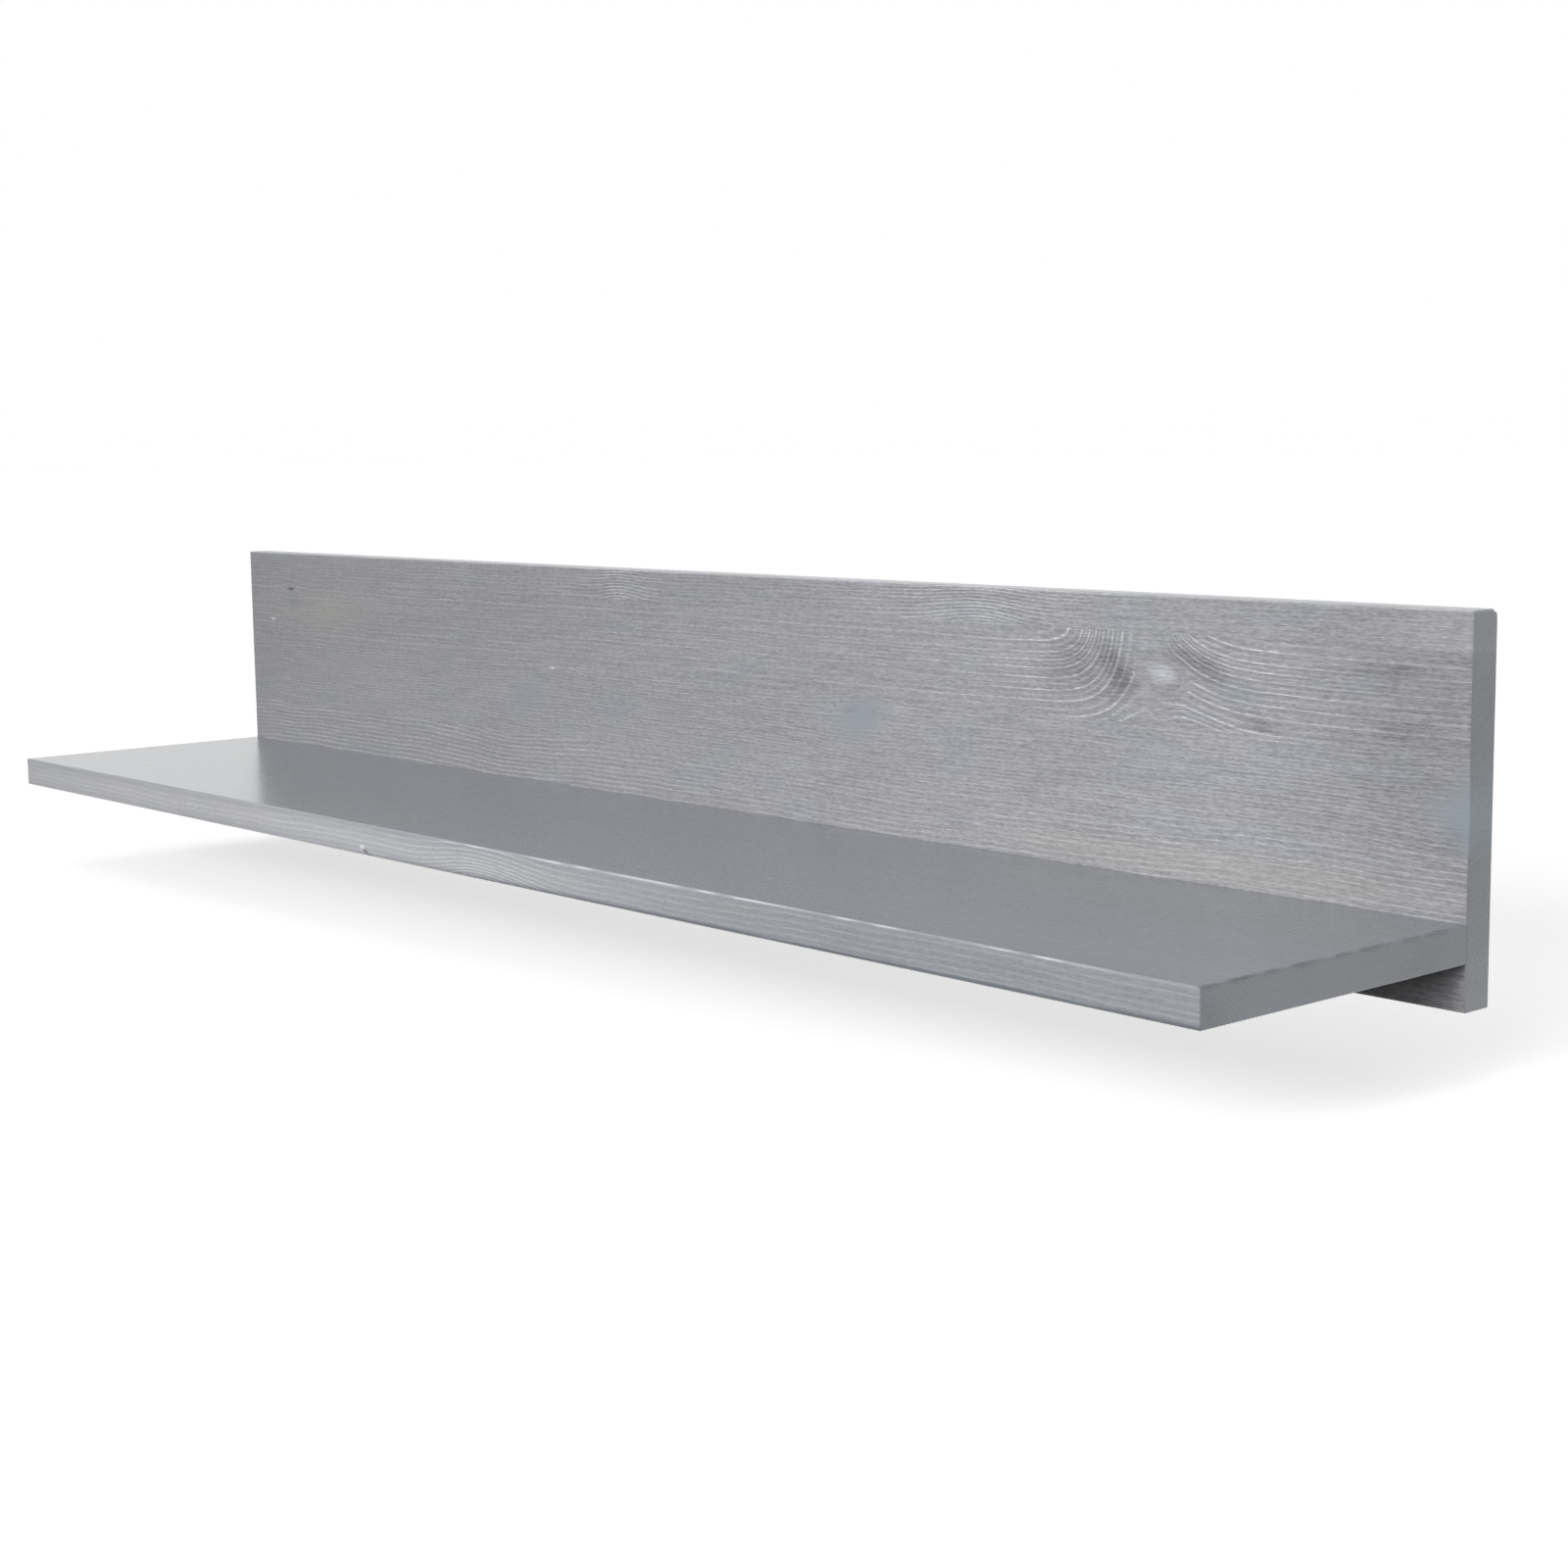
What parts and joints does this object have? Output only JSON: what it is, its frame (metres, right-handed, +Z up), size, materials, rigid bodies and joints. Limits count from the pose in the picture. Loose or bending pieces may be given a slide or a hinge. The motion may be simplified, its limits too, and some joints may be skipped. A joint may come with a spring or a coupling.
{
  "type": "wall shelf",
  "caption": "L-shaped wall shelf: a brushed, grey-stained pine shelf board butted square to the front of a matching back board, hung on keyhole plates.",
  "frame": {"origin": "on the back board's rear face, midway along, at the height of the keyhole plates' middle", "axes": "+X to the right along the boards, +Y into the wall, -Y out to the room, +Z up"},
  "size_m": [1.05, 0.2, 0.178],
  "materials": {
    "grey_pine": "brushed pine, semi-opaque grey stain, satin",
    "zinc_steel": "pressed steel, bright zinc plated",
    "beech": "bare, turned dowel rod"
  },
  "bodies": {
    "root": {"back_stave_bottom": "grey_pine", "back_stave_lower": "grey_pine", "back_stave_middle": "grey_pine", "back_stave_upper": "grey_pine", "back_stave_top": "grey_pine", "shelf_stave_front": "grey_pine", "shelf_stave_outer": "grey_pine", "shelf_stave_middle": "grey_pine", "shelf_stave_inner": "grey_pine", "joint_screw_1": "zinc_steel", "joint_screw_2": "zinc_steel", "joint_screw_3": "zinc_steel", "joint_screw_4": "zinc_steel", "hanger_plate_left": "zinc_steel", "hanger_plate_right": "zinc_steel", "hanger_screw_left_upper": "zinc_steel", "hanger_screw_left_lower": "zinc_steel", "hanger_screw_right_upper": "zinc_steel", "hanger_screw_right_lower": "zinc_steel", "joint_dowel_1": "beech", "joint_dowel_2": "beech", "joint_dowel_3": "beech"}
  },
  "joints": []
}
